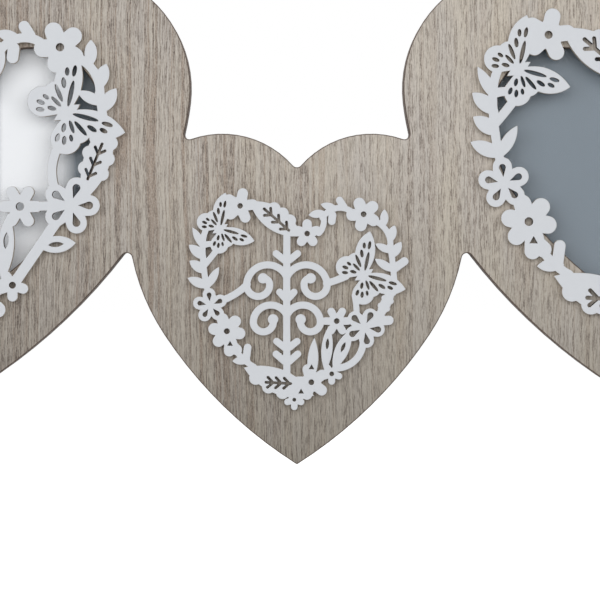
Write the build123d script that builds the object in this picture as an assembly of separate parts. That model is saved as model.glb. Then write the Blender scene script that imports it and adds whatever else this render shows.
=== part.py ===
from build123d import *
import os
from math import acos, asin, atan2, cos, degrees, hypot, radians, sin, sqrt

# Heart outline, drawn for the middle heart: each side is three arcs that run into one another
LOBE_RADIUS = 36.2
LOBE_OVERLAP = 7.5
SHOULDER_RADIUS = 85.3
FLANK_RADIUS = 170.6
SHOULDER_ANGLE = 6.8
FLANK_ANGLE = 33.6

# The three hearts: the two photo hearts are the middle heart enlarged, and overlap it
SIDE_HEART_SCALE = 1.27
HEART_OVERLAP = 23.9
SIDE_TIP_RISE = 29.3
CUTTER_RADIUS = 2.1
TIP_RADIUS = 0.8

# Photo window and the stack behind it
WINDOW_SCALE = 0.75
WINDOW_TIP_RISE = 35.6
LEDGE = 6.0
FIT_CLEARANCE = 0.5
FRONT_LIP = 4.0
GLAZING_THICKNESS = 2.0
PHOTO_THICKNESS = 0.3
CARD_THICKNESS = 2.0
PANEL_THICKNESS = 3.0
VENEER_THICKNESS = 0.6

# Openwork wreaths: one square of the drawing grid is this long on each wreath
WREATH_THICKNESS = 3.0
CENTRE_WREATH_GRID = 3.85
SIDE_WREATH_GRID = 5.74
CENTRE_WREATH_RISE = 63.3
SIDE_WREATH_RISE = 81.85
SIDE_WREATH_OUTSET = 5.65

# Turn buttons that hold the back panels in
BUTTON_LENGTH = 20.0
BUTTON_WIDTH = 8.0
BUTTON_THICKNESS = 1.0
BUTTON_BEAD_LENGTH = 7.0
BUTTON_BEAD_WIDTH = 2.4
BUTTON_BEAD_HEIGHT = 0.4
BUTTON_SETBACK = 6.5
BUTTON_PLAY = 0.1
PIVOT_CLEARANCE = 0.05
LOBE_BUTTON_ANGLE = 90.0
FLANK_BUTTON_ANGLE = -43.0

# Screws
PIVOT_SCREW_RADIUS = 1.5
PIVOT_HEAD_RADIUS = 3.0
PIVOT_HEAD_HEIGHT = 1.6
PIVOT_HEAD_ROUNDING = 1.0
PIVOT_SCREW_DEPTH = 7.0
PLATE_SCREW_RADIUS = 1.3
PLATE_HEAD_RADIUS = 2.6
PLATE_SCREW_DEPTH = 8.0
SCREW_HOLE_CLEARANCE = 0.05
CROSS_WIDTH = 0.8
CROSS_DEPTH = 0.9
CROSS_MARGIN = 1.2

# Keyhole hanger plates, let into the back
PLATE_WIDTH = 14.0
PLATE_LENGTH = 30.0
PLATE_CORNER = 3.0
PLATE_THICKNESS = 1.2
PLATE_FIT = 0.2
PLATE_SCREW_SPACING = 24.0
KEYHOLE_RADIUS = 4.0
KEYHOLE_SLOT_WIDTH = 4.2
KEYHOLE_DROP = 8.0
KEYHOLE_HEAD_ROOM = 1.0
KEYHOLE_CAVITY_DEPTH = 5.5

# Felt pads that hold the back off the wall
PAD_RADIUS = 5.0
PAD_THICKNESS = 3.5
PAD_EDGE_SETBACK = 15.0

CORE_THICKNESS = FRONT_LIP + GLAZING_THICKNESS + PHOTO_THICKNESS + CARD_THICKNESS + PANEL_THICKNESS
FRONT_OF_CORE = -CORE_THICKNESS
FRONT_OF_VENEER = FRONT_OF_CORE - VENEER_THICKNESS
FRONT_OF_GLAZING = FRONT_OF_CORE + FRONT_LIP
LOBE_OFFSET = LOBE_RADIUS - LOBE_OVERLAP
HALF_WIDTH = LOBE_OFFSET + LOBE_RADIUS
SIDE_AXIS = HALF_WIDTH * (1 + SIDE_HEART_SCALE) - HEART_OVERLAP


def polar(centre, angle, radius):
    """The point at an angle and a distance from a centre."""
    return (centre[0] + radius * cos(radians(angle)), centre[1] + radius * sin(radians(angle)))


def heart_centres(size):
    """Centres of the right lobe, shoulder and flank arcs, with the heart's tip at the origin."""
    lobe = (LOBE_OFFSET * size, 0)
    shoulder = polar(lobe, -SHOULDER_ANGLE, (LOBE_RADIUS - SHOULDER_RADIUS) * size)
    flank = polar(shoulder, -FLANK_ANGLE, (SHOULDER_RADIUS - FLANK_RADIUS) * size)
    tip = flank[1] - sqrt((FLANK_RADIUS * size) ** 2 - flank[0] ** 2)
    return [(x, y - tip) for x, y in (lobe, shoulder, flank)]


def heart(size, outset=0.0):
    """A heart with its tip about the origin, or the line that runs a distance outside that heart."""
    lobe, shoulder, flank = heart_centres(size)
    lobe_radius = LOBE_RADIUS * size + outset
    shoulder_radius = SHOULDER_RADIUS * size + outset
    flank_radius = FLANK_RADIUS * size + outset
    tip_angle = -degrees(acos(-flank[0] / flank_radius))
    cleft_angle = 180 - degrees(acos(lobe[0] / lobe_radius))
    half = [
        CenterArc(flank, flank_radius, tip_angle, -FLANK_ANGLE - tip_angle),
        CenterArc(shoulder, shoulder_radius, -FLANK_ANGLE, FLANK_ANGLE - SHOULDER_ANGLE),
        CenterArc(lobe, lobe_radius, -SHOULDER_ANGLE, cleft_angle + SHOULDER_ANGLE),
    ]
    return make_face(half + [mirror(arc, Plane.YZ) for arc in half])


def corner_points(size, outset=0.0):
    """The tip and the cleft of a heart."""
    lobe, _, flank = heart_centres(size)
    tip = flank[1] - sqrt((FLANK_RADIUS * size + outset) ** 2 - flank[0] ** 2)
    cleft = lobe[1] + sqrt((LOBE_RADIUS * size + outset) ** 2 - lobe[0] ** 2)
    return (0, tip), (0, cleft)


def near(vertices, points, reach=0.01):
    """The vertices that lie at one of the points."""
    return [v for v in vertices if any(hypot(v.X - x, v.Y - y) < reach for x, y in points)]


def away(vertices, points, reach=0.01):
    """The vertices that lie at none of the points."""
    return [v for v in vertices if all(hypot(v.X - x, v.Y - y) >= reach for x, y in points)]


def slab(sketch, back, thickness):
    """A sketch seen from the front, made solid forwards from a back plane."""
    return extrude(Plane.XZ.offset(-back) * sketch, thickness)


def rounded_window(outset):
    """The window heart or one parallel to it, with its tip rounded as a cutter leaves it."""
    face = heart(WINDOW_SCALE, outset)
    tip, _ = corner_points(WINDOW_SCALE, outset)
    return fillet(near(face.vertices(), [tip]), CUTTER_RADIUS)


# Places on the back: the wall screws enter the keyholes at height zero
side_lobe = heart_centres(SIDE_HEART_SCALE)[0]
window_lobe, _, window_flank = heart_centres(WINDOW_SCALE)
window_lobe = (window_lobe[0], window_lobe[1] + WINDOW_TIP_RISE)
window_flank = (window_flank[0], window_flank[1] + WINDOW_TIP_RISE)
lobe_gap = (side_lobe[0] - window_lobe[0], side_lobe[1] - window_lobe[1])
lobe_gap_angle = degrees(atan2(lobe_gap[1], lobe_gap[0]))
pocket_lobe_radius = LOBE_RADIUS * WINDOW_SCALE + LEDGE
outer_reach = hypot(*lobe_gap) + LOBE_RADIUS * SIDE_HEART_SCALE
PLATE_PLACE = polar(window_lobe, lobe_gap_angle, (pocket_lobe_radius + outer_reach) / 2)
KEYHOLE_LOW = -KEYHOLE_DROP / 2
HANG_HEIGHT = SIDE_TIP_RISE + PLATE_PLACE[1] + KEYHOLE_LOW
MIDDLE_TIP = (0, -HANG_HEIGHT)
SIDE_TIPS = {"left": (-SIDE_AXIS, SIDE_TIP_RISE - HANG_HEIGHT), "right": (SIDE_AXIS, SIDE_TIP_RISE - HANG_HEIGHT)}
OUTWARD = {"left": -1, "right": 1}


def board_outline():
    """The three hearts as one outline, with the corners a cutter can't reach rounded."""
    hearts = [Pos(*MIDDLE_TIP) * heart(1.0)]
    tips = [MIDDLE_TIP]
    clefts = [(0, MIDDLE_TIP[1] + corner_points(1.0)[1][1])]
    for x, y in SIDE_TIPS.values():
        hearts.append(Pos(x, y) * heart(SIDE_HEART_SCALE))
        tips.append((x, y))
        clefts.append((x, y + corner_points(SIDE_HEART_SCALE)[1][1]))
    own_corners = [(v.X, v.Y) for face in hearts for v in face.vertices()]
    outline = Sketch() + hearts
    notches = [(v.X, v.Y) for v in away(outline.vertices(), own_corners)]
    outline = fillet(near(outline.vertices(), notches + clefts), CUTTER_RADIUS)
    return fillet(near(outline.vertices(), tips), TIP_RADIUS)


# Openwork motifs, drawn on the wreath's grid: each gives the shapes it adds and the shapes it cuts
FLOWER_HEART = 0.54
BUD_PETAL = 1.1
SCALLOP = 0.27
SCALLOP_SPREAD = 0.36
VEIN_BRANCHES = (0.1, 0.4, 0.7)
VEIN_TURN = 44
SLIT_WIDTH = 0.32
PIP_RADIUS = 0.32


def teardrop(length, width):
    """A drop with its point at the origin and its round end along +X."""
    radius = width / 2
    lean = degrees(asin(radius / (length - radius)))
    side = sqrt((length - radius) ** 2 - radius**2)
    upper = polar((0, 0), lean, side)
    lower = polar((0, 0), -lean, side)
    return make_face([Line((0, 0), lower), ThreePointArc(lower, (length, 0), upper), Line(upper, (0, 0))])


def finger(length, width):
    """A strip with round ends, along +X from the origin."""
    return Pos(length / 2, 0) * SlotOverall(length, width)


def blade(length, width):
    """A leaf with two points, along +X from the origin."""
    above = ThreePointArc((0, 0), (length / 2, width / 2), (length, 0))
    below = ThreePointArc((0, 0), (length / 2, -width / 2), (length, 0))
    return make_face([above, below])


def between(base, tip):
    """The place at a base point, turned towards a tip, and the distance between them."""
    run = (tip[0] - base[0], tip[1] - base[1])
    return Pos(*base) * Rot(0, 0, degrees(atan2(run[1], run[0]))), hypot(*run)


def round_leaf(base, tip, width):
    place, length = between(base, tip)
    return [place * finger(length, width)], []


def sharp_leaf(base, tip, width):
    place, length = between(base, tip)
    return [place * blade(length, width)], []


def pip(centre, turn):
    """A small three-cornered hole."""
    return [], [Pos(*centre) * Rot(0, 0, turn) * RegularPolygon(PIP_RADIUS, 3)]


def slit_leaf(base, tip, width, slit_from, slit_to):
    place, length = between(base, tip)
    slit = Pos(length * slit_from, 0) * blade(length * (slit_to - slit_from), SLIT_WIDTH)
    return [place * blade(length, width)], [place * slit]


def stem(start, middle, end, width):
    return [SlotArc(ThreePointArc(start, middle, end), width)], []


def flower(centre, petals, first_angle, reach, petal_width, eye):
    """A flower of round petals with a small round eye cut through."""
    turns = [Pos(*centre) * Rot(0, 0, first_angle + 360 / petals * i) for i in range(petals)]
    disc = Pos(*centre) * Circle(reach * FLOWER_HEART)
    return [turn * finger(reach, petal_width) for turn in turns] + [disc], [Pos(*centre) * Circle(eye)]


def cut_flower(centre, petals, first_angle, reach, petal_width, cut_from, cut_to, cut_width):
    """A flower with a drop cut through each petal."""
    turns = [Pos(*centre) * Rot(0, 0, first_angle + 360 / petals * i) for i in range(petals)]
    disc = Pos(*centre) * Circle(reach * FLOWER_HEART)
    drop = Pos(cut_from, 0) * teardrop(cut_to - cut_from, cut_width)
    return [turn * finger(reach, petal_width) for turn in turns] + [disc], [turn * drop for turn in turns]


def scalloped_leaf(base, tip, width, bumps, sides):
    """A leaf with round bumps along one edge or both, at shares of its length."""
    place, length = between(base, tip)
    solid = [place * blade(length, width)]
    for share in bumps:
        across = width * SCALLOP_SPREAD * sin(radians(180 * share))
        solid += [place * Pos(length * share, side * across) * Circle(width * SCALLOP) for side in sides]
    return solid, []


def vein(base, tip, width, reach):
    """A straight vein with pairs of branches, cut through a leaf."""
    place, length = between(base, tip)
    cut = [place * finger(length, width)]
    for share in VEIN_BRANCHES:
        fork = place * Pos(length * share, 0)
        cut += [fork * Rot(0, 0, turn) * finger(reach, width) for turn in (VEIN_TURN, -VEIN_TURN)]
    return [], cut


# Butterfly in its own drawing, for a fore wing 4.4 grid squares long: turn, start, end and width of each cut
FORE_TURN = 50.5
FORE_LENGTH = 4.4
FORE_LEAD = 0.8
FORE_TRAIL = 1.2
HIND_TURN = 124.0
HIND_LENGTH = 3.0
HIND_WIDTH = 2.2
WING_JOIN_TURN = 90.0
WING_JOIN_REACH = 1.5
WING_JOIN_RADIUS = 0.95
FORE_CUTS = [
    (4, 0.45, 2.3, 0.32),
    (-30.5, 0.85, 2.15, 0.3),
    (-14, 1.75, 2.5, 0.32),
    (-7.5, 2.62, 3.2, 0.3),
    (2.5, 2.6, 3.4, 0.3),
]
HIND_CUTS = [
    (21, 0.62, 1.55, 0.26),
    (-9, 0.8, 1.42, 0.3),
    (12, 1.62, 2.1, 0.26),
    (-3, 1.7, 2.3, 0.3),
    (-18, 1.62, 2.2, 0.3),
]
BODY_LENGTH = 2.2
BODY_WIDTH = 0.7


def wing_cuts(rows, size):
    """The long ovals cut through one wing, which lies along +X."""
    cuts = []
    for turn, start, end, width in rows:
        oval = Ellipse((end - start) * size / 2, width * size / 2)
        cuts.append(Rot(0, 0, turn) * Pos((start + end) * size / 2, 0) * oval)
    return cuts


def butterfly(centre, heading, size):
    """Two fore wings and two hind wings about a slim body, all pierced."""
    length = FORE_LENGTH * size
    lead = ThreePointArc((0, 0), (length / 2, FORE_LEAD * size), (length, 0))
    trail = ThreePointArc((0, 0), (length / 2, -FORE_TRAIL * size), (length, 0))
    fore = make_face([lead, trail])
    hind = teardrop(HIND_LENGTH * size, HIND_WIDTH * size)
    solid = [Pos(-BODY_LENGTH * size / 2, 0) * blade(BODY_LENGTH * size, BODY_WIDTH * size)]
    cut = []
    fore_place = Rot(0, 0, -FORE_TURN)
    hind_place = Rot(0, 0, -HIND_TURN)
    join = Rot(0, 0, -WING_JOIN_TURN) * Pos(WING_JOIN_REACH * size, 0) * Circle(WING_JOIN_RADIUS * size)
    for shape in [fore_place * fore, hind_place * hind, join]:
        solid += [shape, mirror(shape, Plane.XZ)]
    fore_cuts = [fore_place * oval for oval in wing_cuts(FORE_CUTS, size)]
    hind_cuts = [hind_place * oval for oval in wing_cuts(HIND_CUTS, size)]
    for shape in fore_cuts + hind_cuts:
        cut += [shape, mirror(shape, Plane.XZ)]
    place = Pos(*centre) * Rot(0, 0, heading)
    return [place * shape for shape in solid], [place * shape for shape in cut]


def ribbon(start, heading, bends, width):
    """A line of even width that bends through arcs of a radius and a turn, with round ends."""
    faces = [Pos(*start) * Circle(width / 2)]
    point = start
    for radius, turn in bends:
        side = 1 if turn > 0 else -1
        centre = polar(point, heading + side * 90, radius)
        begin = heading - side * 90
        inner = CenterArc(centre, radius - width / 2, begin, turn)
        outer = CenterArc(centre, radius + width / 2, begin, turn)
        faces.append(make_face([inner, Line(inner @ 1, outer @ 1), outer, Line(inner @ 0, outer @ 0)]))
        heading += turn
        point = polar(centre, heading - side * 90, radius)
    return faces + [Pos(*point) * Circle(width * 0.72)], []


STEM_WIDTH = 0.62
VEIN_LINE = 0.26
LEFT_EDGE = 1
RIGHT_EDGE = -1
EVEN_BUMPS = (0.2, 0.4, 0.6, 0.8)


def garland_motifs():
    """The flowers, leaves and butterflies that all the wreaths share, clockwise from the upper left."""
    return [
        butterfly((-7.65, 7.14), 31, 0.83),
        flower((-5.66, 9.42), 5, 78, 1.8, 1.08, 0.26),
        stem((-7.0, 9.6), (-6.7, 9.3), (-6.3, 9.0), STEM_WIDTH),
        scalloped_leaf((0.4, 6.4), (-4.7, 9.85), 2.35, (0.29, 0.45, 0.61), [RIGHT_EDGE]),
        vein((-0.72, 6.9), (-3.35, 9.2), VEIN_LINE, 0.8),
        flower((1.02, 6.66), 5, 90, 1.45, 0.96, 0.26),
        stem((2.2, 6.7), (2.66, 7.6), (2.6, 8.5), STEM_WIDTH),
        stem((2.55, 8.2), (3.6, 9.1), (5.3, 8.95), STEM_WIDTH),
        sharp_leaf((2.95, 8.75), (1.14, 8.5), 0.85),
        sharp_leaf((4.1, 9.1), (2.35, 9.6), 0.78),
        round_leaf((4.85, 9.05), (4.05, 10.3), 0.76),
        round_leaf((3.6, 8.9), (3.43, 7.5), 0.8),
        flower((6.65, 8.59), 5, 40, 1.75, 1.2, 0.27),
        stem((7.7, 7.95), (8.95, 6.9), (9.3, 5.2), STEM_WIDTH),
        stem((9.28, 5.5), (9.55, 3.7), (9.72, 1.7), STEM_WIDTH),
        sharp_leaf((8.7, 7.3), (8.72, 9.1), 0.86),
        sharp_leaf((9.15, 5.7), (9.76, 7.5), 0.95),
        sharp_leaf((9.35, 4.2), (10.42, 5.85), 0.95),
        sharp_leaf((9.6, 4.75), (7.8, 5.65), 0.78),
        flower((3.97, -2.06), 6, 0, 1.5, 0.78, 0.27),
        slit_leaf((3.2, -2.5), (2.8, -7.1), 1.15, 0.28, 0.52),
        flower((3.47, -7.32), 5, 54, 1.1, 0.7, 0.22),
        sharp_leaf((1.45, -8.2), (1.74, -3.7), 1.1),
        flower((1.44, -8.15), 5, 34, 1.85, 1.08, 0.27),
        pip((1.46, -6.7), 90),
        pip((0.42, -9.12), 90),
        flower((-0.26, -9.9), 5, 54, 1.05, 0.68, 0.17),
        scalloped_leaf((1.7, -9.5), (-5.3, -6.7), 2.5, EVEN_BUMPS, [LEFT_EDGE]),
        vein((-0.5, -8.3), (-3.2, -8.15), VEIN_LINE, 0.85),
        stem((-6.3, -4.6), (-5.5, -5.7), (-4.3, -6.6), STEM_WIDTH),
        round_leaf((-5.1, -6.2), (-4.86, -4.3), 0.78),
        sharp_leaf((-4.6, -5.95), (-6.45, -6.05), 0.85),
        round_leaf((-6.7, -3.9), (-6.75, -5.6), BUD_PETAL),
        round_leaf((-6.9, -4.1), (-5.6, -5.3), BUD_PETAL),
        flower((-6.98, -3.07), 6, -10, 1.88, 1.2, 0.28),
        cut_flower((-8.64, -0.5), 5, 96, 1.75, 1.3, 0.42, 1.28, 0.44),
        pip((-6.66, -4.36), 90),
        stem((-8.75, 0.4), (-9.2, 2.6), (-9.4, 5.6), STEM_WIDTH),
        stem((-9.3, 3.4), (-8.7, 4.1), (-8.0, 5.0), STEM_WIDTH),
        stem((-9.38, 5.4), (-9.3, 6.3), (-9.0, 7.2), STEM_WIDTH),
        stem((-9.35, 5.45), (-8.9, 5.6), (-8.3, 5.6), STEM_WIDTH),
        sharp_leaf((-9.15, 5.0), (-10.42, 7.3), 0.8),
        sharp_leaf((-9.0, 4.1), (-10.78, 5.55), 1.05),
        sharp_leaf((-8.9, 2.75), (-10.72, 3.95), 1.05),
        sharp_leaf((-8.7, 1.3), (-10.9, 2.25), 1.0),
        sharp_leaf((-9.05, 1.1), (-7.75, 3.35), 0.85),
    ]


def centre_motifs():
    """The middle wreath's right flank: a butterfly level with the middle and a slim leaf below it."""
    return [
        round_leaf((9.5, 3.0), (11.05, 4.15), 0.85),
        sharp_leaf((9.75, 2.85), (7.75, 4.15), 0.86),
        butterfly((6.69, 2.55), 31.5, 1.0),
        scalloped_leaf((7.9, -2.2), (9.8, 1.6), 1.1, EVEN_BUMPS, [LEFT_EDGE, RIGHT_EDGE]),
        round_leaf((7.7, -2.1), (9.65, -1.95), 0.95),
        stem((5.75, 0.5), (5.9, -0.4), (5.95, -1.3), STEM_WIDTH),
        cut_flower((6.73, -2.71), 5, -8, 2.05, 1.5, 0.52, 1.66, 0.58),
        slit_leaf((5.4, -2.9), (3.6, -6.9), 1.4, 0.32, 0.56),
        stem((6.6, -3.9), (6.0, -5.75), (4.0, -6.75), 0.72),
    ]


def side_motifs():
    """The side wreaths' right flank: the butterfly higher, and a broad veined leaf beside the flower."""
    return [
        butterfly((7.11, 4.23), 31.5, 0.94),
        scalloped_leaf((8.2, -1.7), (10.1, 3.9), 1.8, (0.36, 0.54, 0.72, 0.88), [LEFT_EDGE, RIGHT_EDGE]),
        vein((8.47, -0.3), (9.5, 2.2), 0.18, 0.6),
        stem((6.5, 1.9), (6.1, 0.4), (6.3, -0.9), STEM_WIDTH),
        cut_flower((7.37, -1.99), 5, 0, 1.95, 1.4, 0.5, 1.48, 0.5),
        stem((5.1, -2.06), (5.8, -2.02), (6.6, -2.0), STEM_WIDTH),
        slit_leaf((5.15, -4.7), (7.71, -4.49), 1.15, 0.28, 0.68),
        stem((6.4, -3.1), (5.3, -4.7), (3.8, -6.9), 0.72),
    ]


def filigree_motifs():
    """Scrollwork that fills the middle wreath: an upright vine whose pairs of shoots curl outwards."""
    axis = -1.0
    line = 0.74
    heading = 66
    leaf_width = 0.72
    shoots = [
        (2.3, [(2.1, 150), (1.15, 190), (0.62, 90)]),
        (-1.5, [(1.75, 150), (1.0, 200)]),
    ]
    leaves = [(3.8, 1.35, 4.9), (0.0, 0.95, 1.1), (-4.9, 1.3, -3.85), (-6.3, 1.35, -5.1)]
    motifs = [
        stem((axis, -7.4), (axis - 0.02, -1.0), (axis, 6.6), line),
        stem((-4.95, 1.6), (-5.9, 0.8), (-7.2, 0.1), line),
        stem((2.95, 1.7), (3.9, 2.0), (4.9, 2.4), line),
    ]
    for height, bends in shoots:
        motifs.append(ribbon((axis, height), heading, [(r, -turn) for r, turn in bends], line))
        motifs.append(ribbon((axis, height), 180 - heading, bends, line))
    for base, across, tip in leaves:
        for side in (1, -1):
            motifs.append(round_leaf((axis, base), (axis + side * across, tip), leaf_width))
    return motifs


def openwork(motifs):
    """One pierced sheet from all the motifs."""
    solid = [shape for adds, _ in motifs for shape in adds]
    cut = [shape for _, cuts in motifs for shape in cuts]
    return (Sketch() + solid) - cut


def upright(radius, bottom, top):
    """A round bar along +Z between two heights."""
    return Pos(0, 0, bottom) * Cylinder(radius, top - bottom, align=(Align.CENTER, Align.CENTER, Align.MIN))


def cross_recess(top, radius):
    """The cross that a screwdriver turns, sunk from a height."""
    arm_length = 2 * (radius - CROSS_MARGIN)
    arm = Box(CROSS_WIDTH, arm_length, CROSS_DEPTH, align=(Align.CENTER, Align.CENTER, Align.MAX))
    return Pos(0, 0, top) * (arm + Rot(0, 0, 90) * arm)


def behind(place, solid):
    """A solid made along +Z, set at a place on the back so that +Z points to the wall."""
    return Pos(place[0], 0, place[1]) * Rot(-90, 0, 0) * solid


def pivot_screw():
    """A round-headed screw that a turn button swings on."""
    under_head = 2 * BUTTON_PLAY + BUTTON_THICKNESS
    top = under_head + PIVOT_HEAD_HEIGHT
    head = upright(PIVOT_HEAD_RADIUS, under_head, top)
    head = fillet(head.edges().sort_by(Axis.Z)[-1], PIVOT_HEAD_ROUNDING)
    shank = upright(PIVOT_SCREW_RADIUS, -PIVOT_SCREW_DEPTH, under_head)
    return head + shank - cross_recess(top, PIVOT_HEAD_RADIUS)


def plate_screw():
    """A flat-headed screw, flush with the hanger plate."""
    head_radius = PLATE_HEAD_RADIUS - SCREW_HOLE_CLEARANCE
    head = Pos(0, 0, -PLATE_THICKNESS / 2) * Cone(PLATE_SCREW_RADIUS, head_radius, PLATE_THICKNESS)
    shank = upright(PLATE_SCREW_RADIUS, -PLATE_SCREW_DEPTH, -PLATE_THICKNESS)
    return head + shank - cross_recess(0, PLATE_HEAD_RADIUS)


def turn_button(place, angle):
    """A steel strip on a screw, lying along an angle, with a pressed bead on its arm."""
    end_to_pivot = BUTTON_WIDTH / 2
    strip = Pos(BUTTON_LENGTH / 2 - end_to_pivot, 0) * SlotOverall(BUTTON_LENGTH, BUTTON_WIDTH)
    strip -= Circle(PIVOT_SCREW_RADIUS + PIVOT_CLEARANCE)
    bead_middle = (PIVOT_HEAD_RADIUS + BUTTON_LENGTH - end_to_pivot) / 2
    bead = Pos(bead_middle, 0) * SlotOverall(BUTTON_BEAD_LENGTH, BUTTON_BEAD_WIDTH)
    turned = Pos(*place) * Rot(0, 0, angle)
    back = BUTTON_PLAY + BUTTON_THICKNESS
    body = slab(turned * strip, back, BUTTON_THICKNESS)
    return body + slab(turned * bead, back + BUTTON_BEAD_HEIGHT, BUTTON_BEAD_HEIGHT)


def keyhole():
    """The round entry and the narrow slot above it, about the plate's middle."""
    entry = Pos(0, KEYHOLE_LOW) * Circle(KEYHOLE_RADIUS)
    slot = Rectangle(KEYHOLE_SLOT_WIDTH, KEYHOLE_DROP)
    return entry + slot + Pos(0, -KEYHOLE_LOW) * Circle(KEYHOLE_SLOT_WIDTH / 2)


def plate_screw_places(centre):
    return [(centre[0], centre[1] + side * PLATE_SCREW_SPACING / 2) for side in (1, -1)]


def hanger_plate(centre):
    """A flat steel plate with a keyhole and two countersunk holes, flush with the back."""
    face = RectangleRounded(PLATE_WIDTH, PLATE_LENGTH, PLATE_CORNER) - keyhole()
    plate = slab(Pos(*centre) * face, 0, PLATE_THICKNESS)
    shank_hole = PLATE_SCREW_RADIUS + SCREW_HOLE_CLEARANCE
    sink = Pos(0, 0, -PLATE_THICKNESS / 2) * Cone(shank_hole, PLATE_HEAD_RADIUS, PLATE_THICKNESS)
    for place in plate_screw_places(centre):
        plate -= behind(place, sink)
    return plate


def hanger_recess(centre):
    """The shallow seat for a hanger plate and the deeper room for a wall screw's head."""
    fit = 2 * PLATE_FIT
    seat = RectangleRounded(PLATE_WIDTH + fit, PLATE_LENGTH + fit, PLATE_CORNER + PLATE_FIT)
    room = 2 * (KEYHOLE_RADIUS + KEYHOLE_HEAD_ROOM)
    cavity = Rot(0, 0, 90) * SlotOverall(KEYHOLE_DROP + room, room)
    return [
        slab(Pos(*centre) * seat, 0, PLATE_THICKNESS),
        slab(Pos(*centre) * cavity, 0, KEYHOLE_CAVITY_DEPTH),
    ]


def button_layout(side):
    """Name, place and arm angle of each turn button of one photo heart."""
    tip = SIDE_TIPS[side]
    lobe = polar(window_lobe, LOBE_BUTTON_ANGLE, pocket_lobe_radius + BUTTON_SETBACK)
    flank = polar(window_flank, FLANK_BUTTON_ANGLE, FLANK_RADIUS * WINDOW_SCALE + LEDGE + BUTTON_SETBACK)
    rows = []
    for row, (x, y), angle in (("upper", lobe, LOBE_BUTTON_ANGLE), ("lower", flank, FLANK_BUTTON_ANGLE)):
        for name, way in (("outer", OUTWARD[side]), ("inner", -OUTWARD[side])):
            arm_angle = angle + 180 if way > 0 else -angle
            rows.append((f"{side}_turn_button_{row}_{name}", (tip[0] + way * x, tip[1] + y), arm_angle))
    return rows


def plate_centre(side):
    tip = SIDE_TIPS[side]
    return (tip[0] + OUTWARD[side] * PLATE_PLACE[0], tip[1] + PLATE_PLACE[1])


def pad_places():
    """Under each tip, and on the lobes nearest the middle."""
    places = [(x, y + PAD_EDGE_SETBACK) for x, y in (MIDDLE_TIP, *SIDE_TIPS.values())]
    for side, (x, y) in SIDE_TIPS.items():
        places.append((x - OUTWARD[side] * PLATE_PLACE[0], y + PLATE_PLACE[1]))
    return places


def window_place(side):
    tip = SIDE_TIPS[side]
    return Pos(tip[0], tip[1] + WINDOW_TIP_RISE)


nodes = {}
outline = board_outline()
windows = [window_place(side) * rounded_window(0) for side in SIDE_TIPS]
pockets = [window_place(side) * rounded_window(LEDGE) for side in SIDE_TIPS]
buttons = [row for side in SIDE_TIPS for row in button_layout(side)]
plates = {side: plate_centre(side) for side in SIDE_TIPS}
plate_screws = [place for centre in plates.values() for place in plate_screw_places(centre)]

# Board: a thick core with the pockets and screw holes in its back, and a thin wood face
core = slab(outline - windows, 0, CORE_THICKNESS)
core -= [slab(pocket, 0, CORE_THICKNESS - FRONT_LIP) for pocket in pockets]
core -= [cut for centre in plates.values() for cut in hanger_recess(centre)]
pivot_hole = upright(PIVOT_SCREW_RADIUS + SCREW_HOLE_CLEARANCE, -PIVOT_SCREW_DEPTH, 0)
plate_hole = upright(PLATE_SCREW_RADIUS + SCREW_HOLE_CLEARANCE, -PLATE_SCREW_DEPTH, 0)
core -= [behind(place, pivot_hole) for _, place, _ in buttons]
core -= [behind(place, plate_hole) for place in plate_screws]
nodes["heart_board"] = core
nodes["wood_veneer"] = slab(outline - windows, FRONT_OF_CORE, VENEER_THICKNESS)

# Wreaths on the face
side_sheet = openwork(garland_motifs() + side_motifs())
centre_sheet = openwork(garland_motifs() + centre_motifs() + filigree_motifs())
centre_place = Pos(MIDDLE_TIP[0], MIDDLE_TIP[1] + CENTRE_WREATH_RISE)
centre_wreath = centre_place * scale(centre_sheet, CENTRE_WREATH_GRID)
nodes["centre_wreath"] = slab(centre_wreath, FRONT_OF_VENEER, WREATH_THICKNESS)
for side, (x, y) in SIDE_TIPS.items():
    place = Pos(x + OUTWARD[side] * SIDE_WREATH_OUTSET, y + SIDE_WREATH_RISE)
    side_wreath = place * scale(side_sheet, SIDE_WREATH_GRID)
    nodes[f"{side}_wreath"] = slab(side_wreath, FRONT_OF_VENEER, WREATH_THICKNESS)

# What lies in each pocket, front to back
for side in SIDE_TIPS:
    sheet = window_place(side) * rounded_window(LEDGE - FIT_CLEARANCE)
    front = FRONT_OF_GLAZING
    for name, thickness in (
        ("glazing", GLAZING_THICKNESS),
        ("photo_insert", PHOTO_THICKNESS),
        ("filler_card", CARD_THICKNESS),
        ("back_panel", PANEL_THICKNESS),
    ):
        nodes[f"{side}_{name}"] = slab(sheet, front + thickness, thickness)
        front += thickness

# Fittings on the back
for name, place, angle in buttons:
    nodes[name] = turn_button(place, angle)
for side in SIDE_TIPS:
    own = [place for name, place, _ in buttons if name.startswith(side)]
    nodes[f"{side}_turn_button_screws"] = Compound([behind(place, pivot_screw()).solid() for place in own])
    nodes[f"{side}_hanger_plate"] = hanger_plate(plates[side])
nodes["hanger_screws"] = Compound([behind(place, plate_screw()).solid() for place in plate_screws])
pads = [behind(place, upright(PAD_RADIUS, 0, PAD_THICKNESS)).solid() for place in pad_places()]
nodes["wall_pads"] = Compound(pads)

os.makedirs("parts", exist_ok=True)
for name, shape in nodes.items():
    export_step(shape, f"parts/{name}.step")
print("keyhole entries at x", [round(x, 3) for x, _ in plates.values()])
print("keyhole entries at z", [round(z + KEYHOLE_LOW, 3) for _, z in plates.values()])
print("turn buttons", [(name, round(x, 3), round(z, 3)) for name, (x, z), _ in buttons])
print("pads", [(round(x, 3), round(z, 3)) for x, z in pad_places()])
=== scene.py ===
import math
import bmesh
import bpy
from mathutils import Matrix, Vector
from mathutils.geometry import delaunay_2d_cdt


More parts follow.
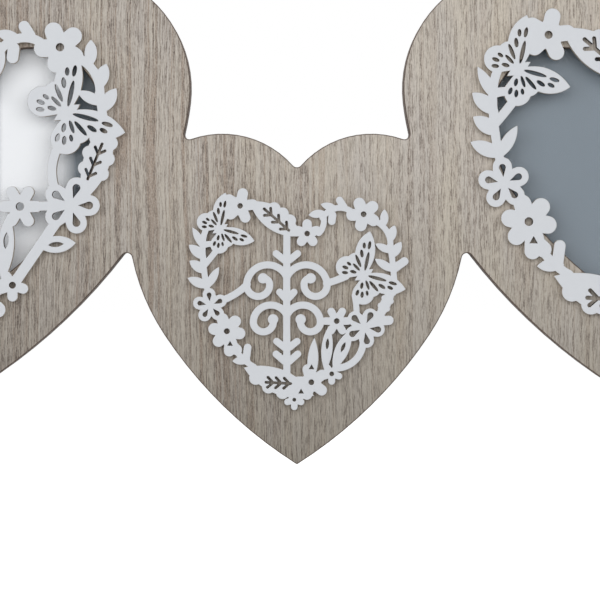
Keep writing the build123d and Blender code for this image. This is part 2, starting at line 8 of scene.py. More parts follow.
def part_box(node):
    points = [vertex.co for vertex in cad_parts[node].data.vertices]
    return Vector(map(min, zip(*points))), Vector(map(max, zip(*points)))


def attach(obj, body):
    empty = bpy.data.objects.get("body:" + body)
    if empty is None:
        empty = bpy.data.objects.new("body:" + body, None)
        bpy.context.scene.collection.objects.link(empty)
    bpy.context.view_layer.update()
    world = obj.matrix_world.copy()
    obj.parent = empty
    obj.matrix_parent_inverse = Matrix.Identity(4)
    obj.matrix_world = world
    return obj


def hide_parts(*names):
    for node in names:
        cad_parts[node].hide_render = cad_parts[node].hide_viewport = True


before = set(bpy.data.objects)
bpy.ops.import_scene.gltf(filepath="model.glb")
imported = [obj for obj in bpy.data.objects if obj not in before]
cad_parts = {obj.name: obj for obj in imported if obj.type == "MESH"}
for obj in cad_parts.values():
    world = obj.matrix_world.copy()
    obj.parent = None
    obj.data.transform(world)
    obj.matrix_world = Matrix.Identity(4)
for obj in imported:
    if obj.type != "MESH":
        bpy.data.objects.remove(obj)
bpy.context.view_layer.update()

MM = 0.001
QUARTER_TURN = math.radians(90)
FULL_TURN = math.radians(360)

# Photograph: how large a pixel is on the board's face, where the middle heart's tip falls, the row at the
# height of the lens, and how far away the lens is
PHOTO_SIZE = 600
PIXEL = 0.385 * MM
TIP_COLUMN = 296.9
TIP_ROW = 464.2
LENS_ROW = 230
CAMERA_DISTANCE = 850 * MM

# Studio, in metres and watts, with the sensor in millimetres
SENSOR_WIDTH = 36.0
FLOOR_DROP = 90 * MM
FLOOR_SIZE = 8.0
FLOOR_ROUGHNESS = 0.9
FLOOR_GLOW = 0.85
SKY_LIGHT = 0.30
FRONT_LIGHT = (-0.05, -1.05, 0.17)
FRONT_POWER = 12.6
BACK_LIGHT = (0.0, 0.9, 0.95)
BACK_POWER = 24.0
SOFTBOX_AIM = (0.0, 0.0, -0.08)
SOFTBOX_WIDTH = 2.4
SOFTBOX_HEIGHT = 0.7

# Rounded edges of the sheets and the steel
WREATH_EASE = 0.2 * MM
VENEER_EASE = 0.45 * MM
SHEET_EASE_STEPS = 3
SHARPEST_MITRE = 0.6
SETTLING_PASSES = 20
CROSSING_REACH = 0.6 * MM
STEEL_EASE = 0.15 * MM
STEEL_EASE_STEPS = 2
ROUND_PROFILE = 0.5

# How narrow a hole has scorched walls with painted shade on them, and how far the inserts lie behind the
# panes
SCORCHED_AND_SHADED_SLOT = 1.7 * MM
INSERT_GAP = 0.05 * MM

# Corners that count as one, faces that count as flat and edges that count as sharp
WELD = 0.001 * MM
FILL_WELD_IN_MM = 1e-6
FLAT_FACE = 0.999
SAME_PLANE = math.radians(1)
SHARP_EDGE = math.radians(30)
NO_SHARP_EDGE = math.radians(180)

# Screws: the shank runs up into the head by a share of the head's height, and a block some radii wide trims
# the ball of a round head to its upper half
PIVOT_SCREW = {"Head radius": 3.0 * MM, "Head height": 1.6 * MM, "Shank radius": 1.5 * MM}
PLATE_SCREW = {"Head radius": 2.55 * MM, "Head height": 1.2 * MM, "Shank radius": 1.3 * MM}
CROSS = {"Cross length": 3.2 * MM, "Cross width": 0.7 * MM, "Cross depth": 0.9 * MM}
SCREW_SIDES = 40
SHANK_OVERLAP = 0.2
TRIMMER_IN_RADII = 4.0

# Felt dots, with the cells of their hairs to a metre
FELT_RADIUS = 5.0 * MM
FELT_FUZZ = 0.3 * MM
FELT_HAIRS = 1700.0
FELT_HAIR_DETAIL = 3.0
FELT_SIDES = 32
FELT_LAYERS = 4
FELT_RINGS = 6
FELT_SMOOTHING = 2
SEED = 7

# Noise: its middle, its roughness, and stretches of its range that become nought to one
NOISE_MIDDLE = 0.5
NOISE_ROUGHNESS = 0.6
WIDE_STRETCH = (0.3, 0.7)
MEDIUM_STRETCH = (0.35, 0.65)
NARROW_STRETCH = (0.4, 0.6)

# Numbers of the sockets that share their names with others of the same node
MIX_FIRST = 6
MIX_SECOND = 7
MIX_RESULT = 2
CHANCE_LOWEST = 2
CHANCE_HIGHEST = 3
CHANCE_RESULT = 1


def colour(red, green, blue):
    """A colour as a picture program writes it, taken by the sRGB curve to the values that a shader uses."""
    shares = [value / 255 for value in (red, green, blue)]
    linear = [s / 12.92 if s <= 0.04045 else ((s + 0.055) / 1.055) ** 2.4 for s in shares]
    return (*linear, 1.0)


def new_finish(name):
    material = bpy.data.materials.new(name)
    material.use_nodes = True
    return material, material.node_tree, material.node_tree.nodes["Principled BSDF"]


def connect(tree, socket, value):
    """Sets a socket, or links it where the value comes from another node."""
    if isinstance(value, bpy.types.NodeSocket):
        tree.links.new(value, socket)
    else:
        socket.default_value = value


def add(tree, kind, inputs=(), **settings):
    node = tree.nodes.new(kind if "Node" in kind else "ShaderNode" + kind)
    for key, value in settings.items():
        setattr(node, key, value)
    for name, value in dict(inputs).items():
        connect(tree, node.inputs[name], value)
    return node


def mixed(tree, share, first, second, mode="MIX"):
    inputs = {"Factor": share, MIX_FIRST: first, MIX_SECOND: second}
    return add(tree, "Mix", data_type="RGBA", blend_type=mode, inputs=inputs).outputs[MIX_RESULT]


def math_node(tree, operation, first, second=0.0):
    return add(tree, "Math", {0: first, 1: second}, operation=operation).outputs[0]


def stepped(tree, value, low, high, at_low=0.0, at_high=1.0):
    """A value taken from one range to another, held at its ends."""
    inputs = {"Value": value, "From Min": low, "From Max": high, "To Min": at_low, "To Max": at_high}
    return add(tree, "MapRange", inputs).outputs["Result"]


def object_place(tree):
    return add(tree, "TexCoord").outputs["Object"]


def speckle(tree, place, cells, detail=2.0):
    """Noise with a number of cells to a metre."""
    inputs = {"Vector": place, "Scale": cells, "Detail": detail, "Roughness": NOISE_ROUGHNESS}
    return add(tree, "TexNoise", inputs).outputs["Fac"]


def fibres(tree, place, cells, detail=3.0):
    """Noise drawn out upwards, with a number of cells to a metre across and along."""
    across, along = cells
    drawn = add(tree, "Mapping", {"Vector": place, "Scale": (across, across, along)})
    return speckle(tree, drawn.outputs["Vector"], 1.0, detail)


def veiled(tree, face, pattern, share, tint):
    """A colour with a pattern of another over it, as strong as a share says."""
    return mixed(tree, math_node(tree, "MULTIPLY", pattern, share), face, tint)


def with_painted_shade(tree, face, share, tone):
    """A colour that is taken down towards a tone by a share, as painted shade."""
    return mixed(tree, share, face, mixed(tree, 1.0, face, tone, "MULTIPLY"))


def facing_front_or_back(tree, edge=0.5, face=0.6):
    """One on faces across Y, nought on cut edges, and between them where an edge is rounded."""
    parts = add(tree, "SeparateXYZ", {"Vector": add(tree, "TexCoord").outputs["Normal"]})
    across = math_node(tree, "ABSOLUTE", parts.outputs["Y"])
    return stepped(tree, across, edge, face)


def coat(tree, shader, face, roughness):
    connect(tree, shader.inputs["Base Color"], face)
    connect(tree, shader.inputs["Roughness"], roughness)


def relief(tree, shader, height, strength, distance):
    bump = add(tree, "Bump", {"Height": height, "Strength": strength, "Distance": distance})
    tree.links.new(bump.outputs["Normal"], shader.inputs["Normal"])


# Board edge
EDGE_BROWN = colour(58, 44, 35)
EDGE_BROWN_LIGHT = colour(88, 70, 57)
EDGE_CELLS = 900.0


def cut_edge(tree, place):
    """Board edge browned by the cutter."""
    return mixed(tree, speckle(tree, place, EDGE_CELLS), EDGE_BROWN, EDGE_BROWN_LIGHT)


# Oak: cells to a metre across and along the grain, and the stretches of their noise that show
SWAY_CELLS = (18.0, 14.0)
GRAIN_SWAY = 5 * MM
PATCH_CELLS = (95.0, 15.0)
RING_CELLS = (190.0, 3.0)
RING_STRETCH = (0.04, 0.01)
LINE_CELLS = (1000.0, 7.0)
LINE_STRETCH = (0.42, 0.62)
PORE_CELLS = (3000.0, 240.0)
PORE_STRETCH = (0.47, 0.57)
PORES_BESIDE_LINES = 0.25
PORES_ON_LINES = 0.72
DUST_CELLS = (2600.0, 1100.0)

# Oak: colours, and how strongly each pattern shows
OAK_WARM = colour(190, 181, 167)
OAK_COOL = colour(184, 177, 169)
RING_BROWN = colour(134, 110, 89)
RING_SHARE = 0.4
LINE_BROWN = colour(134, 116, 99)
LINE_SHARE = 0.36
PORE_BROWN = colour(84, 70, 60)
LIME_DUST = colour(216, 208, 197)
DUST_SHARE = 0.3
OAK_RIM = (0.88, 1.0)
OAK_ROUGHNESS = (0.55, 0.75)
OAK_RELIEF = (0.2, 0.2 * MM)

# Oak: painted shade, deeper towards the middle heart's tip and a little deeper to the left
PAINTED_SHADE_LOW = -160 * MM
PAINTED_SHADE_HIGH = -40 * MM
LOW_PAINTED_SHADE = (0.53, 0.525, 0.5, 1.0)
PAINTED_SHADE_LEFT = -90 * MM
PAINTED_SHADE_RIGHT = 60 * MM
LEFT_PAINTED_SHADE = (0.89, 0.89, 0.9, 1.0)

# Oak: the grain is calmer to the right of the middle and stronger to the left
CALM_SIDE = 30 * MM
CALM_GRAIN = 0.55
STRONG_GRAIN = 1.7
STRONG_PORES = 1.3


def swayed_place(tree, place):
    """Places moved a little sideways, so that upright grain wanders."""
    sway = math_node(tree, "SUBTRACT", fibres(tree, place, SWAY_CELLS, detail=2.0), NOISE_MIDDLE)
    offset = add(tree, "CombineXYZ", {"X": math_node(tree, "MULTIPLY", sway, GRAIN_SWAY)})
    bent = add(tree, "VectorMath", {0: place, 1: offset.outputs["Vector"]}, operation="ADD")
    return bent.outputs["Vector"]


def greyed_oak():
    """Oak veneer, limed grey-beige: fine upright pores, thin brown growth rings, a browned cut edge, and
    painted shade towards the middle heart's tip and to the left.
    """
    material, tree, shader = new_finish("greyed_oak")
    place = object_place(tree)
    parts = add(tree, "SeparateXYZ", {"Vector": place}).outputs
    strength = stepped(tree, parts["X"], CALM_SIDE, -CALM_SIDE, CALM_GRAIN, STRONG_GRAIN)
    painted_shade_left_share = stepped(tree, parts["X"], PAINTED_SHADE_RIGHT, PAINTED_SHADE_LEFT)
    painted_shade_low_share = stepped(tree, parts["Z"], PAINTED_SHADE_HIGH, PAINTED_SHADE_LOW)

    swayed = swayed_place(tree, place)
    patches = stepped(tree, fibres(tree, swayed, PATCH_CELLS), *MEDIUM_STRETCH)
    from_ring = math_node(tree, "SUBTRACT", fibres(tree, swayed, RING_CELLS, detail=1.0), NOISE_MIDDLE)
    rings = stepped(tree, math_node(tree, "ABSOLUTE", from_ring), *RING_STRETCH)
    lines = stepped(tree, fibres(tree, swayed, LINE_CELLS), *LINE_STRETCH)
    pores = stepped(tree, fibres(tree, swayed, PORE_CELLS, detail=1.0), *PORE_STRETCH)
    by_line = stepped(tree, lines, 0.0, 1.0, PORES_BESIDE_LINES, PORES_ON_LINES)
    by_side = stepped(tree, strength, 0.0, STRONG_GRAIN, 1.0, STRONG_PORES)
    dashes = math_node(tree, "MULTIPLY", math_node(tree, "MULTIPLY", pores, by_line), by_side)
    dust = stepped(tree, fibres(tree, place, DUST_CELLS, detail=1.0), *MEDIUM_STRETCH)

    face = mixed(tree, patches, OAK_WARM, OAK_COOL)
    face = veiled(tree, face, math_node(tree, "MULTIPLY", rings, strength), RING_SHARE, RING_BROWN)
    face = veiled(tree, face, math_node(tree, "MULTIPLY", lines, strength), LINE_SHARE, LINE_BROWN)
    face = mixed(tree, dashes, face, PORE_BROWN)
    face = veiled(tree, face, dust, DUST_SHARE, LIME_DUST)
    # Painted shade: darker towards the middle heart's tip and a little darker to the left
    face = with_painted_shade(tree, face, painted_shade_low_share, LOW_PAINTED_SHADE)
    face = with_painted_shade(tree, face, painted_shade_left_share, LEFT_PAINTED_SHADE)
    face = mixed(tree, facing_front_or_back(tree, *OAK_RIM), cut_edge(tree, place), face)
    coat(tree, shader, face, stepped(tree, dashes, 0.0, 1.0, *OAK_ROUGHNESS))
    relief(tree, shader, math_node(tree, "SUBTRACT", 1.0, dashes), *OAK_RELIEF)
    return material


# Fibreboard
CORE_PALE = colour(168, 138, 106)
CORE_DARK = colour(126, 98, 72)
HARDBOARD_PALE = colour(112, 80, 56)
HARDBOARD_DARK = colour(78, 54, 38)
FIBRE_CELLS = 1400.0
FIBRE_SHARE = 0.6
FIBRE_CLOUD_CELLS = 35.0
FIBRE_CLOUD_SHARE = 0.25
FIBRE_ROUGHNESS = 0.78
FIBRE_RELIEF = (0.15, 0.1 * MM)


def fibreboard(name, pale, dark, edge_browned):
    """Pressed fibre with fine specks, its cut edges browned where asked."""
    material, tree, shader = new_finish(name)
    place = object_place(tree)
    specks = stepped(tree, speckle(tree, place, FIBRE_CELLS, detail=4.0), *MEDIUM_STRETCH)
    clouds = stepped(tree, speckle(tree, place, FIBRE_CLOUD_CELLS), *WIDE_STRETCH)
    face = veiled(tree, pale, specks, FIBRE_SHARE, dark)
    face = veiled(tree, face, clouds, FIBRE_CLOUD_SHARE, dark)
    if edge_browned:
        face = mixed(tree, facing_front_or_back(tree), cut_edge(tree, place), face)
    coat(tree, shader, face, FIBRE_ROUGHNESS)
    relief(tree, shader, specks, *FIBRE_RELIEF)
    return material


# Paint
PAINT = colour(203, 206, 211)
PAINT_LIGHT = colour(212, 215, 219)
PAINTED_WALL = colour(168, 156, 140)
PAINTED_WALL_LIGHT = colour(196, 187, 174)
SCORCH_AND_PAINTED_SHADE = colour(44, 35, 30)
MIST_CELLS = 260.0
PAINT_GRAIN_CELLS = 2600.0
PAINT_RIM = (0.3, 0.9)
PAINT_ROUGHNESS = (0.48, 0.6)
PAINT_RELIEF = (0.12, 0.06 * MM)


def white_paint():
    """Sprayed off-white, thin and a little tan where it wraps the cut edges, and scorched with painted shade
    on the walls of the narrow slots and holes.
    """
    material, tree, shader = new_finish("white_paint")
    place = object_place(tree)
    mist = speckle(tree, place, MIST_CELLS, detail=4.0)
    scorched_and_shaded = add(tree, "Attribute", attribute_name="scorched_and_shaded").outputs["Fac"]
    # Scorch and painted shade darken the walls of the narrow slots and holes
    wall = mixed(tree, scorched_and_shaded, mixed(tree, mist, PAINTED_WALL, PAINTED_WALL_LIGHT), SCORCH_AND_PAINTED_SHADE)
    face = mixed(tree, mist, PAINT, PAINT_LIGHT)
    face = mixed(tree, facing_front_or_back(tree, *PAINT_RIM), wall, face)
    coat(tree, shader, face, stepped(tree, mist, *WIDE_STRETCH, *PAINT_ROUGHNESS))
    relief(tree, shader, speckle(tree, place, PAINT_GRAIN_CELLS), *PAINT_RELIEF)
    return material


# Panes
PANE_TINT = colour(150, 158, 165)
PANE_SOLIDITY = 0.03
PANE_ROUGHNESS = (0.04, 0.1)
SMEAR_CELLS = 40.0


def clear_pane():
    """Clear acrylic with faint smears in its gloss."""
    material, tree, shader = new_finish("clear_pane")
    smears = speckle(tree, object_place(tree), SMEAR_CELLS)
    coat(tree, shader, PANE_TINT, stepped(tree, smears, *WIDE_STRETCH, *PANE_ROUGHNESS))
    shader.inputs["Alpha"].default_value = PANE_SOLIDITY
    return material


# Insert paper, with a painted reflection: a pale band placed from the heart's axis
PAPER_GREY = colour(113, 125, 135)
PAPER_GREY_LIGHT = colour(121, 133, 143)
PAPER_GREY_DARK = colour(101, 112, 121)
PAINTED_REFLECTION = colour(248, 250, 253)
REFLECTION_OFFSET = 21 * MM
REFLECTION_HALF_WIDTH = 11.5 * MM
REFLECTION_FADE = 5.5 * MM
PAPER_CELLS = 1500.0
PAPER_CLOUD_CELLS = 30.0
PAPER_CLOUD_SHARE = 0.25
PAPER_ROUGHNESS = 0.5
PAPER_RELIEF = (0.05, 0.05 * MM)


def insert_paper(name, axis):
    """Grey paper with a painted reflection, a soft pale band to the right of the heart's axis."""
    material, tree, shader = new_finish(name)
    place = object_place(tree)
    across = add(tree, "SeparateXYZ", {"Vector": place}).outputs["X"]
    # Painted reflection: a pale band on the grey paper, full within its half width and fading beyond
    from_reflection = math_node(tree, "ABSOLUTE", math_node(tree, "SUBTRACT", across, axis + REFLECTION_OFFSET))
    glow = stepped(tree, from_reflection, REFLECTION_HALF_WIDTH + REFLECTION_FADE, REFLECTION_HALF_WIDTH)
    grain = speckle(tree, place, PAPER_CELLS)
    clouds = speckle(tree, place, PAPER_CLOUD_CELLS)
    grey = mixed(tree, grain, PAPER_GREY, PAPER_GREY_LIGHT)
    grey = veiled(tree, grey, clouds, PAPER_CLOUD_SHARE, PAPER_GREY_DARK)
    coat(tree, shader, mixed(tree, glow, grey, PAINTED_REFLECTION), PAPER_ROUGHNESS)
    relief(tree, shader, grain, *PAPER_RELIEF)
    return material


# Filler card
CARD_PALE = colour(158, 152, 140)
CARD_DARK = colour(136, 129, 118)
CARD_CELLS = 900.0
CARD_ROUGHNESS = 0.9


def grey_card():
    material, tree, shader = new_finish("grey_card")
    flecks = stepped(tree, speckle(tree, object_place(tree), CARD_CELLS, detail=4.0), *NARROW_STRETCH)
    coat(tree, shader, mixed(tree, flecks, CARD_PALE, CARD_DARK), CARD_ROUGHNESS)
    return material


# Steel
STEEL_DULL = colour(172, 172, 168)
STEEL_BRIGHT = colour(202, 203, 200)
STEEL_CLOUD_CELLS = 220.0
SCRATCH_CELLS = (9000.0, 300.0)
STEEL_ROUGHNESS = (0.26, 0.42)
STEEL_RELIEF = (0.05, 0.03 * MM)


def plated_steel():
    """Zinc plate: bright, a little cloudy, with fine scratches."""
    material, tree, shader = new_finish("plated_steel")
    place = object_place(tree)
    clouds = speckle(tree, place, STEEL_CLOUD_CELLS, detail=3.0)
    scratches = fibres(tree, place, SCRATCH_CELLS, detail=2.0)
    face = mixed(tree, clouds, STEEL_DULL, STEEL_BRIGHT)
    coat(tree, shader, face, stepped(tree, scratches, *WIDE_STRETCH, *STEEL_ROUGHNESS))
    shader.inputs["Metallic"].default_value = 1.0
    relief(tree, shader, scratches, *STEEL_RELIEF)
    return material


# Felt
FELT_DARK = colour(44, 42, 41)
FELT_PALE = colour(92, 88, 84)
FELT_CELLS = 2200.0
FELT_ROUGHNESS = 0.95
FELT_RELIEF = (0.6, 0.3 * MM)


def felt():
    material, tree, shader = new_finish("felt")
    hairs = speckle(tree, object_place(tree), FELT_CELLS, detail=5.0)
    coat(tree, shader, mixed(tree, hairs, FELT_DARK, FELT_PALE), FELT_ROUGHNESS)
    relief(tree, shader, hairs, *FELT_RELIEF)
    return material


def dress(node, material):
    """Gives a CAD node its finish."""
    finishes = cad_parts[node].data.materials
    finishes.clear()
    finishes.append(material)


def welded(node):
    """A copy of a CAD node's surface with its shared corners joined."""
    body = bmesh.new()
    body.from_mesh(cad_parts[node].data)
    bmesh.ops.remove_doubles(body, verts=body.verts, dist=WELD)
    body.normal_update()
    return body


def front_outlines(node):
    """The closed lines round a flat node's front face, each with the solid on its left."""
    body = welded(node)
    following = {}
    for face in body.faces:
        if face.normal.y < -FLAT_FACE:
            for loop in face.loops:
                if loop.link_loop_radial_next.face.normal.y > -FLAT_FACE:
                    following[loop.vert] = loop.link_loop_next.vert
    outlines = []
    while following:
        point = next(iter(following))
        line = []
        while point in following:
            line.append(Vector((point.co.x, point.co.z)))
            point = following.pop(point)
        outlines.append(line)
    body.free()
    return outlines


def drawn_in(line, distance, shares):
    """An outline moved into the solid by a share of a distance at each point, with no run turned round."""
    runs = [here - before for before, here in zip(line[-1:] + line[:-1], line)]
    sides = [Vector((-run.y, run.x)).normalized() for run in runs]
    moved = []
    for here, side, next_side, share in zip(line, sides, sides[1:] + sides[:1], shares):
        way = (side + next_side).normalized()
        moved.append(here + way * distance * share / max(way.dot(side), SHARPEST_MITRE))
    for _ in range(SETTLING_PASSES):
        for index, run in enumerate(runs):
            if (moved[index] - moved[index - 1]).dot(run) < 0:
                middle = (moved[index] + moved[index - 1]) / 2
                moved[index - 1] = middle
                moved[index] = middle.copy()
    return moved


def flat_filling(outlines):
    """Faces that fill flat outlines, holes left open, with their corners and the points these come from."""
    points = [point / MM for outline in outlines for point in outline]
    rings = []
    first = 0
    for outline in outlines:
        rings.append(range(first, first + len(outline)))
        first += len(outline)
    inside_with_holes = 2
    filling = delaunay_2d_cdt(points, [], rings, inside_with_holes, FILL_WELD_IN_MM)
    spots, _, faces, sources, _, _ = filling
    return [spot * MM for spot in spots], faces, sources


def easing_shares(outlines, ease):
    """How much of the easing each point takes: less where the full one would make outlines cross."""
    shares = [[1.0] * len(outline) for outline in outlines]
    for _ in range(SETTLING_PASSES):
        inner = [drawn_in(outline, ease, share) for outline, share in zip(outlines, shares)]
        spots, _, sources = flat_filling(inner)
        crossings = [spot for spot, source in zip(spots, sources) if not source]
        for line, share in zip(inner, shares):
            for index, point in enumerate(line):
                if any((point - crossing).length < CROSSING_REACH for crossing in crossings):
                    share[index] /= 2
        if not crossings:
            break
    return shares


def close_flat(body, outlines, backwards):
    """Fills flat outlines of a shape, with the holes left open."""
    corners = [corner for outline in outlines for corner in outline]
    lines = [[Vector((corner.co.x, corner.co.z)) for corner in outline] for outline in outlines]
    spots, faces, sources = flat_filling(lines)
    depth = corners[0].co.y
    used = []
    for spot, source in zip(spots, sources):
        used.append(corners[source[0]] if source else body.verts.new((spot.x, depth, spot.y)))
    for face in faces:
        ring = [used[index] for index in face]
        body.faces.new(reversed(ring) if backwards else ring)


def is_narrow_slot(line):
    """Whether an outline is that of a hole too narrow for a clean cut, whose walls get scorch and painted
    shade. A hole's area comes out negative.
    """
    following = line[1:] + line[:1]
    area = sum(here.cross(after) for here, after in zip(line, following)) / 2
    length = sum((after - here).length for here, after in zip(line, following))
    return 0 < -2 * area / length < SCORCHED_AND_SHADED_SLOT


def eased_sheet(node, ease):
    """A flat node's shape with its front edges rounded, and the walls of its narrow slots marked for scorch
    and painted shade.
    """
    low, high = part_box(node)
    rings = [(0.0, high.y)]
    for step in range(SHEET_EASE_STEPS + 1):
        turn = QUARTER_TURN * step / SHEET_EASE_STEPS
        rings.append((ease * (1 - math.cos(turn)), low.y + ease * (1 - math.sin(turn))))
    body = bmesh.new()
    scorched_and_shaded = body.faces.layers.float.new("scorched_and_shaded")
    backs = []
    fronts = []
    outlines = front_outlines(node)
    for line, shares in zip(outlines, easing_shares(outlines, ease)):
        # Narrow slots and holes get scorch and painted shade on their walls
        narrow = float(is_narrow_slot(line))
        rows = []
        for inset, depth in rings:
            points = drawn_in(line, inset, shares)
            rows.append([body.verts.new((point.x, depth, point.y)) for point in points])
        for back, fore in zip(rows, rows[1:]):
            for index in range(len(line)):
                wall = body.faces.new((back[index - 1], back[index], fore[index], fore[index - 1]))
                wall[scorched_and_shaded] = narrow if back is rows[0] else 0.0
        backs.append(rows[0])
        fronts.append(rows[-1])
    close_flat(body, fronts, False)
    close_flat(body, backs, True)
    bmesh.ops.remove_doubles(body, verts=body.verts, dist=WELD)
    return body


def softened(node, ease):
    """A node's shape with its sharp edges rounded."""
    body = welded(node)
    bmesh.ops.dissolve_limit(body, angle_limit=SAME_PLANE, verts=body.verts, edges=body.edges)
    sharp = [edge for edge in body.edges if edge.calc_face_angle(0.0) > SHARP_EDGE]
    rounding = {"offset": ease, "segments": STEEL_EASE_STEPS, "profile": ROUND_PROFILE}
    bmesh.ops.bevel(body, geom=sharp, affect="EDGES", clamp_overlap=False, **rounding)
    return body


def set_back(node, gap):
    """A sheet's shape with its front face moved back from what it touches."""
    body = welded(node)
    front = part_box(node)[0].y + gap
    for vert in body.verts:
        vert.co.y = max(vert.co.y, front)
    return body


def stand_in(piece, material, node, body="frame"):
    """Puts a piece in the place of a CAD node."""
    if not piece.data.materials:
        piece.data.materials.append(material)
    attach(piece, body)
    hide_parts(node)


def shaped_piece(name, body):
    """An object from a shape, its flat faces crisp and its rounded ones smooth."""
    body.normal_update()
    for face in body.faces:
        face.smooth = True
    for face in body.faces:
        if abs(face.normal.y) > FLAT_FACE:
            for edge in face.edges:
                edge.smooth = False
    mesh = bpy.data.meshes.new(name)
    body.to_mesh(mesh)
    body.free()
    piece = bpy.data.objects.new(name, mesh)
    bpy.context.scene.collection.objects.link(piece)
    return piece


def back_places(node):
    """The middle of each separate solid in a node, as far back as the solid reaches."""
    body = welded(node)
    waiting = set(body.verts)
    places = []
    while waiting:
        reached = [waiting.pop()]
        for vert in reached:
            near = {edge.other_vert(vert) for edge in vert.link_edges} & waiting
            waiting -= near
            reached += near
        across = [vert.co.x for vert in reached]
        upwards = [vert.co.z for vert in reached]
        back = max(vert.co.y for vert in reached)
        places.append(((min(across) + max(across)) / 2, back, (min(upwards) + max(upwards)) / 2))
    body.free()
    return sorted(places)


def vector(tree, x=0.0, y=0.0, z=0.0):
    return add(tree, "CombineXYZ", {"X": x, "Y": y, "Z": z}).outputs["Vector"]


def shifted(tree, shape, move, stretch=(1.0, 1.0, 1.0)):
    inputs = {"Geometry": shape, "Translation": move, "Scale": stretch}
    return add(tree, "GeometryNodeTransform", inputs).outputs["Geometry"]


def block(tree, size):
    return add(tree, "GeometryNodeMeshCube", {"Size": size}).outputs["Mesh"]


def start_tree(name, sizes):
    tree = bpy.data.node_groups.new(name, "GeometryNodeTree")
    tree.interface.new_socket("Places", in_out="INPUT", socket_type="NodeSocketGeometry")
    for size in sizes:
        tree.interface.new_socket(size, in_out="INPUT", socket_type="NodeSocketFloat")
    tree.interface.new_socket("Shape", in_out="OUTPUT", socket_type="NodeSocketGeometry")
    return tree, tree.nodes.new("NodeGroupInput").outputs


def set_at_places(tree, places, shape, spin):
    """The shape at each place, pointing to the back and turned about its own axis by chance."""
    limits = {CHANCE_LOWEST: 0.0, CHANCE_HIGHEST: spin, "Seed": SEED}
    chance = add(tree, "FunctionNodeRandomValue", limits, data_type="FLOAT")
    turn = vector(tree, -QUARTER_TURN, chance.outputs[CHANCE_RESULT])
    inputs = {"Points": places, "Instance": shape, "Rotation": turn}
    copies = add(tree, "GeometryNodeInstanceOnPoints", inputs).outputs["Instances"]
    return add(tree, "GeometryNodeRealizeInstances", {"Geometry": copies}).outputs["Geometry"]


def end_tree(tree, shape, material):
    finished = add(tree, "GeometryNodeSetMaterial", {"Geometry": shape, "Material": material})
    tree.links.new(finished.outputs["Geometry"], tree.nodes.new("NodeGroupOutput").inputs["Shape"])
    return tree


def screw_tree(name, domed, sizes, material):
    """Cross-headed screws with their heads' tops at the places."""
    tree, given = start_tree(name, sizes)
    radius = given["Head radius"]
    height = given["Head height"]
    sunk = math_node(tree, "MULTIPLY", height, -1.0)
    length = given["Cross length"]
    width = given["Cross width"]
    both_ways = math_node(tree, "MULTIPLY", given["Cross depth"], 2.0)
    cuts = [block(tree, vector(tree, *size, both_ways)) for size in ((length, width), (width, length))]
    if domed:
        inputs = {"Segments": SCREW_SIDES, "Rings": SCREW_SIDES // 2, "Radius": radius}
        ball = add(tree, "GeometryNodeMeshUVSphere", inputs)
        flattened = vector(tree, 1.0, 1.0, math_node(tree, "DIVIDE", height, radius))
        head = shifted(tree, ball.outputs["Mesh"], vector(tree, z=sunk), flattened)
        wide = math_node(tree, "MULTIPLY", radius, TRIMMER_IN_RADII)
        below = math_node(tree, "SUBTRACT", sunk, math_node(tree, "MULTIPLY", radius, TRIMMER_IN_RADII / 2))
        cuts.append(shifted(tree, block(tree, vector(tree, wide, wide, wide)), vector(tree, z=below)))
    else:
        inputs = {"Vertices": SCREW_SIDES, "Radius Top": radius, "Radius Bottom": given["Shank radius"]}
        cone = add(tree, "GeometryNodeMeshCone", {**inputs, "Depth": height})
        head = shifted(tree, cone.outputs["Mesh"], vector(tree, z=sunk))
    cut_head = add(tree, "GeometryNodeMeshBoolean", {"Mesh 1": head}, operation="DIFFERENCE", solver="EXACT")
    for cut in cuts:
        tree.links.new(cut, cut_head.inputs["Mesh 2"])
    overlap = math_node(tree, "MULTIPLY", height, SHANK_OVERLAP)
    run = math_node(tree, "ADD", math_node(tree, "SUBTRACT", given["Length"], height), overlap)
    middle = math_node(tree, "SUBTRACT", math_node(tree, "MULTIPLY", run, 0.5), given["Length"])
    inputs = {"Vertices": SCREW_SIDES, "Radius": given["Shank radius"], "Depth": run}
    bar = add(tree, "GeometryNodeMeshCylinder", inputs).outputs["Mesh"]
    whole = add(tree, "GeometryNodeJoinGeometry")
    for shape in (cut_head.outputs["Mesh"], shifted(tree, bar, vector(tree, z=middle))):
        tree.links.new(shape, whole.inputs["Geometry"])
    screws = set_at_places(tree, given["Places"], whole.outputs["Geometry"], QUARTER_TURN)
    return end_tree(tree, screws, material)


